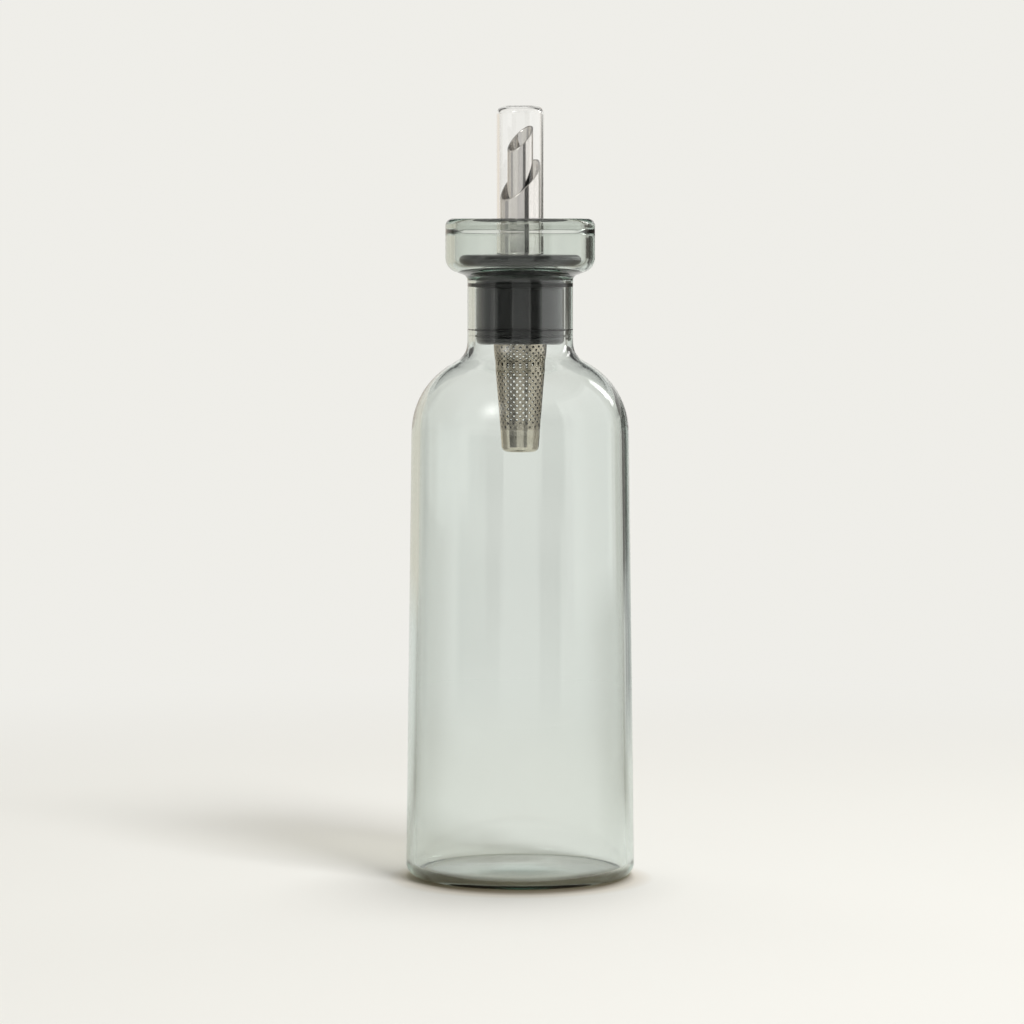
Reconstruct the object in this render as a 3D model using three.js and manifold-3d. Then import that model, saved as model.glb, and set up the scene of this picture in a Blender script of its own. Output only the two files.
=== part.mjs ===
// Oil and vinegar dispenser: a blown glass bottle whose rim opens into a cup, a stopper with a double
// spout that pours and takes its own drips back, a perforated basket for herbs under the stopper,
// and a clear cap over the spout.
// Millimetres, +Z up. The origin is the centre of the foot, and the tip of the spout points along +X.
import * as THREE from 'three';
import { mergeGeometries, mergeVertices } from 'three/addons/utils/BufferGeometryUtils.js';
import Module from 'manifold-3d';

// Fits
const FIT = 0.15; // radial or axial gap between two pieces that are pressed together
const SLIDE_GAP = 0.25; // radial gap between two pieces that slide on each other
const SEAT_GAP = 0.2; // gap under a piece that stands on another

// Infuser basket, from its mouth at the stopper down to its closed end
const SHEET = 0.5; // steel sheet of the basket
const BASKET_MOUTH_R = 8.8;
const BASKET_END_R = 6;
const BASKET_LENGTH = 35.5;
const COLLAR_HEIGHT = 7.6; // plain ring that goes up into the stopper
const COLLAR_LAP = 2.5; // length of the cone inside the collar
const END_CUP_HEIGHT = 6.8; // plain closed end below the perforations
const END_CUP_LAP = 2; // lip of the end cup inside the cone
const END_CUP_CORNER_R = 1.8;
const HOLE_R = 0.7;
const HOLES_PER_ROW = 12; // on every other facet of the cone
const HOLE_ROW_PITCH = 2.6;
const HOLE_BORDER = 1.6; // plain sheet left above the first row and below the last one

// Spout tubes
const INNER_TUBE_R = 4.2;
const TUBE_WALL = 0.5;
const DRIP_GAP = 1.9; // ring-shaped gap between the tubes, where drips run back and air comes in
const OUTER_TUBE_RISE = 31.3; // from the top of the flange to the outer tube's tip
const INNER_TUBE_REACH = 10.9; // from the outer tube's tip to the inner tube's tip
const CUT_ANGLE = THREE.MathUtils.degToRad(46); // slant of both mouths

// Stopper
const CORE_WALL = 1.9; // core around the basket's collar
const SKIN = 2.65; // stopper shell around the core
const TUBE_GRIP = 15.2; // length of the outer tube inside the core
const WEB = 2.4; // web that carries both tubes
const BOSS_WALL = 0.65; // sleeve round the inner tube under the web
const BOSS_LENGTH = 3.1;
const DRIP_SLOTS = 3; // slots through the web
const DRIP_SLOT_ARC = THREE.MathUtils.degToRad(84);
const DRIP_SLOT_MARGIN = 0.1; // web left between a slot and the wall beside it
const CORE_RECESS = 0.4; // core set back from the stopper's lower face
const COLLAR_HEADROOM = 0.3; // gap between the collar and the web it stops against
const FLANGE_OVERHANG = 5.6;
const FLANGE_THICKNESS = 3.4;
const PLUG_EDGE_R = 1.6;
const PLUG_FILLET_R = 1.2; // under the flange
const SEAL_DEPTH = 1.3; // depth of the grooves that hold the seals
const UPPER_SEAL_HEIGHT = 2.1;
const UPPER_SEAL_DROP = 6.4; // from the flange's underside to the middle of the upper seal
const LOWER_SEAL_HEIGHT = 2.9;
const LOWER_SEAL_RISE = 3.5; // from the stopper's lower face to the middle of the lower seal
const SEAL_LIP = 0.9; // height of a lip on a seal
const GRIP_SECTION_R = 0.575; // round section of the ring that grips the basket's collar
const GRIP_RISE = 3.6; // from the stopper's lower face to the middle of the grip ring

// Cap
const CAP_WALL = 0.85;
const CAP_TOP = 0.9;
const CAP_HEADROOM = 5.4; // free height over the inner tube's tip
const CAP_CORNER_R = 2.5;
const CAP_INNER_CORNER_R = 1.65;

// Bottle
const BASE_R = 37.6; // side wall just above the heel
const BODY_TOP_R = 35.7; // side wall where the shoulder starts
const SHOULDER_Z = 146;
const SHOULDER_R = 25.8;
const NECK_FILLET_R = 4.8;
const INNER_NECK_FILLET_R = 8.5;
const NECK_LENGTH = 24.2;
const WALL = 2.8;
const SHOULDER_THINNING = 1.2; // the wall is thinner by this at the top of the shoulder
const NECK_WALL = 2.5;
const FLOOR = 2;
const HEEL_R = 4;
const INNER_HEEL_R = 3;
const FOOT_RING = 6.5; // width of the flat ring that the bottle stands on
const PUNT_RISE = 0.8; // hollow under the foot
const PLUG_GAP = 0.4; // radial gap between the stopper and the neck's bore
const SEAL_GAP = 0.18; // radial gap between the seals and the neck's bore
const MOUTH_EDGE_R = 1.5;
const CUP_CLEARANCE = 1.6; // radial gap between the flange and the cup
const CUP_WALL = 2.9;
const CUP_FLOOR = 2.2;
const CUP_HEIGHT = 17.7;
const CUP_CORNER_R = 4.7;
const CUP_SLOPE = THREE.MathUtils.degToRad(20); // rise of the cup's underside away from the neck
const CUP_INNER_CORNER_R = 3.2;
const CUP_FILLET_R = 2; // inside corner between the neck and the underside of the cup
const LIP_THICKNESS = 3.4;
const RIM_OUTER_R = 2.4; // the rim is rounder outside than inside
const LIP_DEPTH = 3.9; // height of the thickened lip
const LIP_TAPER = 0.9; // height over which the lip runs out into the wall

// Facets of the round pieces, and steps of their arcs
const FACETS = 36;
const TUBE_FACETS = 28;
const HOLE_FACETS = 4;
const FINE_STEPS = 2;
const STEPS = 3;
const SHOULDER_STEPS = 6;

// Cutters
const OVERRUN = 1; // how far a cutter goes past the wall that it cuts
const KNIFE = 6; // side of the block that cuts a mouth, in tube radii
const WELD = 1e-4; // points closer than this become one

// Radii, worked out from the basket outwards
const collarInnerR = BASKET_MOUTH_R + FIT;
const collarR = collarInnerR + SHEET;
const socketR = collarR + SLIDE_GAP;
const coreR = socketR + CORE_WALL;
const shellInnerR = coreR + FIT;
const plugR = shellInnerR + SKIN;
const flangeR = plugR + FLANGE_OVERHANG;
const boreR = plugR + PLUG_GAP;
const neckR = boreR + NECK_WALL;
const cupInnerR = flangeR + CUP_CLEARANCE;
const cupR = cupInnerR + CUP_WALL;
const innerTubeBoreR = INNER_TUBE_R - TUBE_WALL;
const outerTubeBoreR = INNER_TUBE_R + DRIP_GAP;
const outerTubeR = outerTubeBoreR + TUBE_WALL;
const capInnerR = outerTubeR + SLIDE_GAP;
const capR = capInnerR + CAP_WALL;

// Heights in the stopper, measured from the underside of its flange
const seatZ = -TUBE_GRIP;
const webZ = seatZ - WEB;
const plugZ = webZ - COLLAR_HEADROOM - COLLAR_HEIGHT;
const outerTipZ = FLANGE_THICKNESS + OUTER_TUBE_RISE;
const innerTipZ = outerTipZ + INNER_TUBE_REACH;
const capZ = FLANGE_THICKNESS + SEAT_GAP;

const wasm = await Module();
wasm.setup();

// Outlines: points in the half plane of radius and height

const at = (r, z) => new THREE.Vector2(r, z);

function arc(centreR, centreZ, radius, from, to, steps = STEPS) {
  return Array.from({ length: steps + 1 }, (_, i) => {
    const angle = from + ((to - from) * i) / steps;
    return at(centreR + radius * Math.cos(angle), centreZ + radius * Math.sin(angle));
  });
}

const RIGHT = 0;
const UP = Math.PI / 2;
const LEFT = Math.PI;
const DOWN = -Math.PI / 2;

// A shoulder arc that leaves a side wall upright and runs through a hollow fillet into a neck.
function shoulder(sideR, arcR, lowZ, throatR, filletR) {
  const arcCentreR = sideR - arcR;
  const across = throatR + filletR - arcCentreR;
  const rise = Math.sqrt((arcR + filletR) ** 2 - across ** 2);
  const meeting = Math.atan2(rise, across);
  const topZ = lowZ + rise;
  return {
    topZ,
    points: [
      ...arc(arcCentreR, lowZ, arcR, RIGHT, meeting, SHOULDER_STEPS),
      ...arc(throatR + filletR, topZ, filletR, LEFT + meeting, LEFT, STEPS),
    ],
  };
}

// Solids

function cleaned(geometry) {
  geometry.deleteAttribute('normal');
  geometry.deleteAttribute('uv');
  const merged = mergeVertices(geometry, WELD);
  const kept = [];
  for (let i = 0; i < merged.index.count; i += 3) {
    const [a, b, c] = [0, 1, 2].map((k) => merged.index.getX(i + k));
    if (a !== b && b !== c && c !== a) kept.push(a, b, c);
  }
  merged.setIndex(kept);
  return merged;
}

// Turns an outline about the Z axis. It runs anticlockwise, and starts and ends on the axis or closes.
function turned(outline, facets = FACETS) {
  return cleaned(new THREE.LatheGeometry(outline, facets).rotateX(Math.PI / 2));
}

const ring = (outline, facets) => turned([...outline, outline[0].clone()], facets);

function solidOf(geometry) {
  const vertProperties = new Float32Array(geometry.attributes.position.array);
  const triVerts = new Uint32Array(geometry.index.array);
  return new wasm.Manifold(new wasm.Mesh({ numProp: 3, vertProperties, triVerts }));
}

function cut(geometry, cutter) {
  const mesh = solidOf(geometry).subtract(solidOf(cleaned(cutter))).getMesh();
  const result = new THREE.BufferGeometry();
  result.setAttribute('position', new THREE.BufferAttribute(mesh.vertProperties, 3));
  return result.setIndex(new THREE.BufferAttribute(mesh.triVerts, 1));
}

// Bottle

function bottleGeometry() {
  const innerZ = SHOULDER_Z + SHOULDER_THINNING;
  const outer = shoulder(BODY_TOP_R, SHOULDER_R, SHOULDER_Z, neckR, NECK_FILLET_R);
  const inner = shoulder(BODY_TOP_R - WALL, SHOULDER_R - WALL, innerZ, boreR, INNER_NECK_FILLET_R);
  const cupUnderZ = outer.topZ + NECK_LENGTH;
  const cupFloorZ = cupUnderZ + CUP_FLOOR;
  const rimZ = cupUnderZ + CUP_HEIGHT;
  const rimInnerR = LIP_THICKNESS - RIM_OUTER_R;
  const filletR = neckR + CUP_FILLET_R;
  const cornerR = cupR - CUP_CORNER_R;
  const cornerZ = cupUnderZ + CUP_CORNER_R;
  // The sloped underside runs from the fillet at the neck to the cup's corner, and touches both arcs
  const arcsR = CUP_CORNER_R + CUP_FILLET_R;
  const undersideRun = cornerR - filletR + arcsR * Math.sin(CUP_SLOPE);
  const filletZ = cornerZ - arcsR * Math.cos(CUP_SLOPE) - undersideRun * Math.tan(CUP_SLOPE);
  const footR = BASE_R - HEEL_R - FOOT_RING;
  const insideR = BASE_R - WALL;
  return {
    cupFloorZ,
    geometry: turned([
      at(0, PUNT_RISE),
      at(footR, 0),
      ...arc(BASE_R - HEEL_R, HEEL_R, HEEL_R, DOWN, RIGHT),
      ...outer.points,
      ...arc(filletR, filletZ, CUP_FILLET_R, LEFT, UP + CUP_SLOPE, FINE_STEPS),
      ...arc(cornerR, cornerZ, CUP_CORNER_R, DOWN + CUP_SLOPE, RIGHT),
      ...arc(cupR - RIM_OUTER_R, rimZ - RIM_OUTER_R, RIM_OUTER_R, RIGHT, UP),
      ...arc(cupR - RIM_OUTER_R, rimZ - rimInnerR, rimInnerR, UP, LEFT, FINE_STEPS),
      at(cupR - LIP_THICKNESS, rimZ - LIP_DEPTH),
      at(cupInnerR, rimZ - LIP_DEPTH - LIP_TAPER),
      ...arc(cupInnerR - CUP_INNER_CORNER_R, cupFloorZ + CUP_INNER_CORNER_R, CUP_INNER_CORNER_R,
        RIGHT, DOWN),
      ...arc(boreR + MOUTH_EDGE_R, cupFloorZ - MOUTH_EDGE_R, MOUTH_EDGE_R, UP, LEFT, FINE_STEPS),
      ...inner.points.reverse(),
      ...arc(insideR - INNER_HEEL_R, FLOOR + INNER_HEEL_R, INNER_HEEL_R, RIGHT, DOWN),
      at(0, FLOOR + PUNT_RISE),
    ]),
  };
}

// Stopper

const upperSealZ = -UPPER_SEAL_DROP;
const lowerSealZ = plugZ + LOWER_SEAL_RISE;
const lowerLipOffset = (LOWER_SEAL_HEIGHT - SEAL_LIP) / 2;
const sealInnerR = plugR - SEAL_DEPTH + FIT;

function groove(middleZ, sealHeight) {
  const half = sealHeight / 2 + FIT;
  return [
    at(plugR, middleZ - half),
    at(plugR - SEAL_DEPTH, middleZ - half),
    at(plugR - SEAL_DEPTH, middleZ + half),
    at(plugR, middleZ + half),
  ];
}

function stopperBodyGeometry() {
  const edgeR = FLANGE_THICKNESS / 2;
  return ring([
    at(shellInnerR, plugZ),
    ...arc(plugR - PLUG_EDGE_R, plugZ + PLUG_EDGE_R, PLUG_EDGE_R, DOWN, RIGHT, FINE_STEPS),
    ...groove(lowerSealZ, LOWER_SEAL_HEIGHT),
    ...groove(upperSealZ, UPPER_SEAL_HEIGHT),
    ...arc(plugR + PLUG_FILLET_R, -PLUG_FILLET_R, PLUG_FILLET_R, LEFT, UP, FINE_STEPS),
    ...arc(flangeR - edgeR, edgeR, edgeR, DOWN, UP, 2 * FINE_STEPS),
    at(outerTubeR + FIT, FLANGE_THICKNESS),
    at(outerTubeR + FIT, 0),
    at(shellInnerR, 0),
  ]);
}

// A seal lies level with the plug's side, and its lips stand out of it towards the glass.
function sealGeometry(middleZ, height, lipOffsets) {
  const half = height / 2;
  const sideR = plugR - FIT;
  const lips = lipOffsets.flatMap((offset) => [
    at(sideR, middleZ + offset - SEAL_LIP / 2),
    at(boreR - SEAL_GAP, middleZ + offset),
    at(sideR, middleZ + offset + SEAL_LIP / 2),
  ]);
  return ring([
    at(sealInnerR, middleZ - half),
    at(sideR, middleZ - half),
    ...lips,
    at(sideR, middleZ + half),
    at(sealInnerR, middleZ + half),
  ]);
}

const bossR = INNER_TUBE_R + FIT + BOSS_WALL;

function dripSlotGeometry(index) {
  const inR = bossR + DRIP_SLOT_MARGIN;
  const outR = outerTubeBoreR - DRIP_SLOT_MARGIN;
  const start = (index * 2 * Math.PI) / DRIP_SLOTS;
  const end = start + DRIP_SLOT_ARC;
  const outline = new THREE.Shape();
  outline.absarc(0, 0, outR, start, end, false);
  outline.absarc(0, 0, inR, end, start, true);
  const options = { depth: WEB + 2 * OVERRUN, bevelEnabled: false, curveSegments: STEPS };
  return new THREE.ExtrudeGeometry(outline, options).translate(0, 0, webZ - OVERRUN);
}

function stopperCoreGeometry() {
  const holeR = INNER_TUBE_R + FIT;
  const gripZ = plugZ + GRIP_RISE;
  const gripHalf = GRIP_SECTION_R + FIT;
  const gripR = collarR + 2 * (GRIP_SECTION_R + FIT);
  const blank = ring([
    at(socketR, plugZ + CORE_RECESS),
    at(coreR, plugZ + CORE_RECESS),
    at(coreR, -FIT),
    at(outerTubeR + FIT, -FIT),
    at(outerTubeR + FIT, seatZ),
    at(holeR, seatZ),
    at(holeR, webZ - BOSS_LENGTH),
    at(bossR, webZ - BOSS_LENGTH),
    at(bossR, webZ),
    at(socketR, webZ),
    at(socketR, gripZ + gripHalf),
    at(gripR, gripZ + gripHalf),
    at(gripR, gripZ - gripHalf),
    at(socketR, gripZ - gripHalf),
  ]);
  const slots = Array.from({ length: DRIP_SLOTS }, (_, i) => dripSlotGeometry(i));
  return cut(blank, mergeGeometries(slots));
}

function gripRingGeometry() {
  const middleR = collarR + FIT + GRIP_SECTION_R;
  const section = arc(middleR, plugZ + GRIP_RISE, GRIP_SECTION_R, 0, 2 * Math.PI, 2 * STEPS);
  return turned(section);
}

// Spout

// A tube whose mouth is cut on a slant, with its tip towards +X.
function spoutTubeGeometry(radius, bottomZ, tipZ) {
  const blank = ring([
    at(radius - TUBE_WALL, bottomZ),
    at(radius, bottomZ),
    at(radius, tipZ),
    at(radius - TUBE_WALL, tipZ),
  ], TUBE_FACETS);
  const size = KNIFE * radius;
  const knife = new THREE.BoxGeometry(size, size, size)
    .translate(0, 0, size / 2)
    .rotateY(-CUT_ANGLE)
    .translate(0, 0, tipZ - radius * Math.tan(CUT_ANGLE));
  return cut(blank, knife);
}

// Basket, measured from the stopper's lower face

const coneEndZ = END_CUP_HEIGHT - BASKET_LENGTH;
const coneR = (z) => BASKET_MOUTH_R + ((BASKET_MOUTH_R - BASKET_END_R) * Math.min(z, 0)) / BASKET_LENGTH;

function collarGeometry() {
  return ring([
    at(collarInnerR, 0),
    at(collarR, 0),
    at(collarR, COLLAR_HEIGHT),
    at(collarInnerR, COLLAR_HEIGHT),
  ], TUBE_FACETS);
}

function holeGeometry(row, column) {
  const z = -HOLE_BORDER - HOLE_R - row * HOLE_ROW_PITCH;
  const facet = 2 * column + (row % 2);
  const turn = ((facet + 0.5) * Math.PI) / HOLES_PER_ROW;
  return new THREE.CylinderGeometry(HOLE_R, HOLE_R, SHEET + 2 * OVERRUN, HOLE_FACETS)
    .rotateZ(Math.PI / 2)
    .translate(coneR(z) - SHEET / 2, 0, z)
    .rotateZ(turn);
}

function coneGeometry() {
  const blank = ring([
    at(coneR(coneEndZ) - SHEET, coneEndZ),
    at(coneR(coneEndZ), coneEndZ),
    at(BASKET_MOUTH_R, 0),
    at(BASKET_MOUTH_R, COLLAR_LAP),
    at(BASKET_MOUTH_R - SHEET, COLLAR_LAP),
    at(BASKET_MOUTH_R - SHEET, 0),
  ], 2 * HOLES_PER_ROW);
  const perforated = -coneEndZ - END_CUP_LAP - 2 * (HOLE_BORDER + HOLE_R);
  const rows = Math.floor(perforated / HOLE_ROW_PITCH) + 1;
  const holes = [];
  for (let row = 0; row < rows; row += 1) {
    for (let column = 0; column < HOLES_PER_ROW; column += 1) holes.push(holeGeometry(row, column));
  }
  return cut(blank, mergeGeometries(holes));
}

function endCupGeometry() {
  const seamZ = coneEndZ - FIT;
  const lipR = coneR(coneEndZ) - SHEET - FIT;
  const endR = coneR(END_CUP_CORNER_R - BASKET_LENGTH);
  const cornerZ = END_CUP_CORNER_R - BASKET_LENGTH;
  const cornerR = endR - END_CUP_CORNER_R;
  return turned([
    at(0, -BASKET_LENGTH),
    ...arc(cornerR, cornerZ, END_CUP_CORNER_R, DOWN, RIGHT),
    at(coneR(seamZ), seamZ),
    at(lipR, seamZ),
    at(lipR, seamZ + END_CUP_LAP),
    at(lipR - SHEET, seamZ + END_CUP_LAP),
    at(lipR - SHEET, seamZ),
    ...arc(cornerR, cornerZ, END_CUP_CORNER_R - SHEET, RIGHT, DOWN),
    at(0, SHEET - BASKET_LENGTH),
  ], TUBE_FACETS);
}

// Cap, measured from its lower edge

function capGeometry() {
  const height = innerTipZ + CAP_HEADROOM + CAP_TOP - capZ;
  const ceilingZ = height - CAP_TOP;
  return turned([
    at(0, ceilingZ),
    ...arc(capInnerR - CAP_INNER_CORNER_R, ceilingZ - CAP_INNER_CORNER_R, CAP_INNER_CORNER_R,
      UP, RIGHT, FINE_STEPS),
    at(capInnerR, 0),
    at(capR, 0),
    ...arc(capR - CAP_CORNER_R, height - CAP_CORNER_R, CAP_CORNER_R, RIGHT, UP, FINE_STEPS),
    at(0, height),
  ], TUBE_FACETS);
}

// Materials

const finish = (color, roughness, metalness, opacity = 1) =>
  new THREE.MeshStandardMaterial({ color, roughness, metalness, opacity, transparent: opacity < 1 });

const smokedGlass = finish(0xb9c4bb, 0.03, 0, 0.35);
const clearCap = finish(0xf2f4f5, 0.04, 0, 0.25);
const steel = finish(0xb8b4ae, 0.22, 1);
const basketSteel = finish(0x9d988d, 0.28, 1);
const blackPlastic = finish(0x26262a, 0.35, 0);
const blackSilicone = finish(0x1d1d1f, 0.55, 0);

// Assembly

function piece(name, geometry, material) {
  const mesh = new THREE.Mesh(geometry, material);
  mesh.name = name;
  return mesh;
}

const bottle = bottleGeometry();

const cap = new THREE.Group();
cap.position.z = capZ;
cap.add(piece('cap', capGeometry(), clearCap));

const basket = new THREE.Group();
basket.position.z = plugZ;
basket.add(
  piece('basket_collar', collarGeometry(), steel),
  piece('basket_cone', coneGeometry(), basketSteel),
  piece('basket_end_cup', endCupGeometry(), basketSteel),
);

const stopper = new THREE.Group();
stopper.position.z = bottle.cupFloorZ + SEAT_GAP;
stopper.add(
  piece('stopper_body', stopperBodyGeometry(), blackPlastic),
  piece('stopper_core', stopperCoreGeometry(), blackPlastic),
  piece('upper_seal_ring', sealGeometry(upperSealZ, UPPER_SEAL_HEIGHT, [0]), blackSilicone),
  piece('lower_seal_ring', sealGeometry(lowerSealZ, LOWER_SEAL_HEIGHT, [-lowerLipOffset, lowerLipOffset]),
    blackSilicone),
  piece('basket_grip_ring', gripRingGeometry(), blackSilicone),
  piece('spout_outer_tube', spoutTubeGeometry(outerTubeR, seatZ + FIT, outerTipZ), steel),
  piece('spout_inner_tube', spoutTubeGeometry(INNER_TUBE_R, webZ - BOSS_LENGTH, innerTipZ), steel),
  basket,
  cap,
);

const dispenser = new THREE.Group();
dispenser.add(piece('bottle', bottle.geometry, smokedGlass), stopper);

export default dispenser;
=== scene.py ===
"""Looks of the oil and vinegar dispenser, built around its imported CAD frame. Metres, +Z up.

Each CAD node is replaced by a smooth turned piece with the same place and size. The basket gets its real
perforations, rolled from a flat sheet, and the glass, steel, plastic and silicone get procedural materials.
"""

import math

import bmesh
import bpy
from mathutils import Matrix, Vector
from mathutils.geometry import delaunay_2d_cdt


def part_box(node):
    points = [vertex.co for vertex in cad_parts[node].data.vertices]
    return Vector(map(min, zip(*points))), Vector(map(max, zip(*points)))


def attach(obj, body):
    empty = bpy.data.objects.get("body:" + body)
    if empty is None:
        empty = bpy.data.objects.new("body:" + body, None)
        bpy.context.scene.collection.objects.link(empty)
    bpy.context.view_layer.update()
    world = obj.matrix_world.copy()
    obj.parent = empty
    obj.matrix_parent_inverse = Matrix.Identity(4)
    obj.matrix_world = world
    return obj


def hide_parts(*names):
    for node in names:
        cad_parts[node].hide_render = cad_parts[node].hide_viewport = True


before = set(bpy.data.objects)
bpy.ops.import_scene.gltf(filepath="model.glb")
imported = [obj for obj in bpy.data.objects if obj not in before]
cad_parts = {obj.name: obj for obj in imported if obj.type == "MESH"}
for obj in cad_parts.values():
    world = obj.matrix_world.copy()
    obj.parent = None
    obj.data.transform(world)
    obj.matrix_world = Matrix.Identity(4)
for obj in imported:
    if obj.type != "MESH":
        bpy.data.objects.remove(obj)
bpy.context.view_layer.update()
MM = 0.001

# Places and radii, read from the frame
_, BOTTLE_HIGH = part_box("bottle")
STOPPER_LOW, STOPPER_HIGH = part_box("stopper_body")
CORE_LOW, CORE_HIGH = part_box("stopper_core")
UPPER_SEAL_LOW, UPPER_SEAL_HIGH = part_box("upper_seal_ring")
LOWER_SEAL_LOW, LOWER_SEAL_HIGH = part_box("lower_seal_ring")
GRIP_LOW, GRIP_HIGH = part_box("basket_grip_ring")
OUTER_TUBE_LOW, OUTER_TUBE_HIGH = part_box("spout_outer_tube")
INNER_TUBE_LOW, INNER_TUBE_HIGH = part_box("spout_inner_tube")
COLLAR_LOW, COLLAR_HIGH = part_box("basket_collar")
CONE_LOW, CONE_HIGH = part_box("basket_cone")
END_CUP_LOW, END_CUP_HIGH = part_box("basket_end_cup")
CAP_LOW, CAP_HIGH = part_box("cap")

# Bottle
BASE_R = BOTTLE_HIGH.x
RIM_Z = BOTTLE_HIGH.z
BODY_TOP_R = 35.7 * MM
SHOULDER_Z = 146 * MM
SHOULDER_R = 25.8 * MM
NECK_FILLET_R = 4.8 * MM
INNER_NECK_FILLET_R = 8.5 * MM
SHOULDER_THINNING = 1.2 * MM  # the wall is thinner by this at the top of the shoulder
NECK_R = 17.3 * MM
BORE_R = 14.8 * MM
WALL = 2.8 * MM
FLOOR = 2 * MM
HEEL_R = 4 * MM
INNER_HEEL_R = 3 * MM
FOOT_RING = 6.5 * MM
PUNT_RISE = 0.8 * MM
PONTIL_RISE = 0.25 * MM  # low swelling in the middle of the floor
CUP_R = 24.5 * MM
CUP_INNER_R = 21.6 * MM
CUP_HEIGHT = 17.7 * MM
CUP_FLOOR = 2.2 * MM
CUP_FILLET_R = 2 * MM
CUP_CORNER_R = 4.7 * MM
CUP_SLOPE = math.radians(20)
CUP_INNER_CORNER_R = 2.6 * MM
MOUTH_EDGE_R = 0.6 * MM
LIP_THICKNESS = 3.4 * MM
RIM_OUTER_R = 2.4 * MM
LIP_DEPTH = 3.9 * MM
LIP_TAPER = 0.9 * MM
LIP_RUN_OUT = 3 * LIP_TAPER  # from the lip down to where the cup's wall is straight

# Stopper
FLANGE_R = STOPPER_HIGH.x
FLANGE_TOP = STOPPER_HIGH.z
FLANGE_THICKNESS = 3.4 * MM
PLUG_BOTTOM = STOPPER_LOW.z
PLUG_R = 14.4 * MM
PLUG_EDGE_R = 1.6 * MM
SHELL_INNER_R = 11.75 * MM
SEAL_DEPTH = 1.3 * MM
SEAL_FIT = 0.15 * MM
SEAL_LIP = 0.9 * MM
SEAL_SQUEEZE = 0.02 * MM  # the lips are pressed this far into the glass, so that no air shows between them
UPPER_CONTACT = 1.15 * MM  # height of the upper seal's face against the glass
LOWER_CONTACT = 0.32 * MM  # height of that face on each lip of the lower seal
CONTACT_SLOPE = 0.29 * MM  # height over which a lip runs out into its seal
TUBE_FIT = 0.15 * MM
SOFT_EDGE = 0.3 * MM  # rounding on moulded edges
PLUG_FILLET_R = 1.2 * MM  # under the flange
FLANGE_LOW_EDGE_R = 1.1 * MM
SEAT_DROP = 0.22 * MM  # the flange's underside is this much lower than its solid's, pressed on the glass
CORE_R = CORE_HIGH.x
SOCKET_R = 9.7 * MM
SOCKET_DEPTH = 7.9 * MM
WEB = 2.4 * MM
BOSS_R = 5 * MM
BOSS_LENGTH = 3.1 * MM

# Spout
OUTER_TUBE_R = OUTER_TUBE_HIGH.x
INNER_TUBE_R = INNER_TUBE_HIGH.x
TUBE_WALL = 0.5 * MM
CUT_SLOPE = math.tan(math.radians(46))
TUBE_EDGE = 0.08 * MM

# Basket
SHEET = 0.5 * MM
MOUTH_R = CONE_HIGH.x
BASKET_TOP = COLLAR_LOW.z
CONE_END_R = 6.54 * MM
CONE_SLOPE = (MOUTH_R - CONE_END_R) / (BASKET_TOP - CONE_LOW.z)
CONE_SINE = math.sin(math.atan(CONE_SLOPE))
END_CUP_CORNER_R = 1.8 * MM
HOLE_R = 0.42 * MM
HOLE_PITCH = 2.17 * MM  # along a row
ROW_PITCH = 1.17 * MM  # from a row to the staggered one below it
HOLE_SIDES = 12
END_MARGIN = 1.4 * HOLE_R  # from the middle of a hole to the sheet's ends
SEAM_MARGIN = 0.6 * MM  # plain sheet beside a seam
SHEET_STEPS = 48  # facets along the plain edges of a half sheet
FRONT_TURN = math.radians(-128)  # where the middle of the front half sheet faces
BACK_ROW_DROP = 0.62 * MM  # the back half's rows lie this much lower than the front half's
ROW_SKEW = 0.025  # the rows rise by this share of the way along them

# Cap
CAP_R = CAP_HIGH.x
CAP_WALL = 0.85 * MM
CAP_TOP = 0.9 * MM
CAP_CORNER_R = 2.5 * MM
CAP_INNER_CORNER_R = 1.65 * MM

# Fineness of the meshes
SEGMENTS = 128
BOTTLE_SEGMENTS = 256
ARC_STEPS = 10
SHOULDER_STEPS = 30
DOME_STEPS = 12
SOFT_STEPS = 4
SHARP_ANGLE = math.radians(38)
SUPPORT = 0.25 * MM  # from the end of a straight span to the point that keeps it straight
LONG_SPAN = 4 * SUPPORT  # shorter spans need no such points
EASE_STEP = 0.4 * MM
EASE_PASSES = 30
LIP_EASE_PASSES = 3
KEPT_TURN = math.radians(2)
KEPT_LENGTH = 10 * MM
MERGE_DISTANCE = 1e-7
ON_AXIS = 1e-9
ON_SEAM = 1e-7
SHEET_TOLERANCE = 1e-9
INSIDE_OUTLINE = 1  # the kind of triangulation that fills an outline
IN_HOLE = 0.98  # a triangle whose middle is nearer than this share of the radius fills a hole

# Clear pieces
BOTTLE_LAMP_TINTS = ((0.87, 0.845, 0.8), (0.4, 0.33, 0.25))  # of lamp light, square and slanting
CAP_LAMP_TINTS = ((0.96, 0.96, 0.96), (0.5, 0.5, 0.5))
SLANT_START = 0.4
WAVE_STRENGTH = 0.02  # of the unevenness of the surface
SMOKE_LOW = RIM_Z - 2 * CUP_HEIGHT
SMOKE_STOPS = [  # tints by the share of the way from there up to the rim
    (0.3, (1, 1, 1)),
    (0.5, (0.935, 0.94, 0.926)),
    (0.85, (0.925, 0.93, 0.911)),
    (0.92, (0.83, 0.835, 0.81)),
]

# Steel, plastic and silicone
NOISE_LOW, NOISE_HIGH = 0.3, 0.7  # most of a noise lies between these
STEEL_GRAIN = 900
STEEL_GRAIN_DETAIL = 4
STEEL_GRAIN_STRENGTH = 0.06
STEEL_GRAIN_DEPTH = 0.02 * MM
PAINTED_INSIDE_SHADE = (0.12, 0.11, 0.09, 1)  # shade painted on the inside of the basket's cone, where little light reaches
MOTTLE = 120
MOTTLE_DETAIL = 2
MOULD_GRAIN_DETAIL = 3
MOULD_GRAIN_DEPTH = 0.05 * MM

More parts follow.
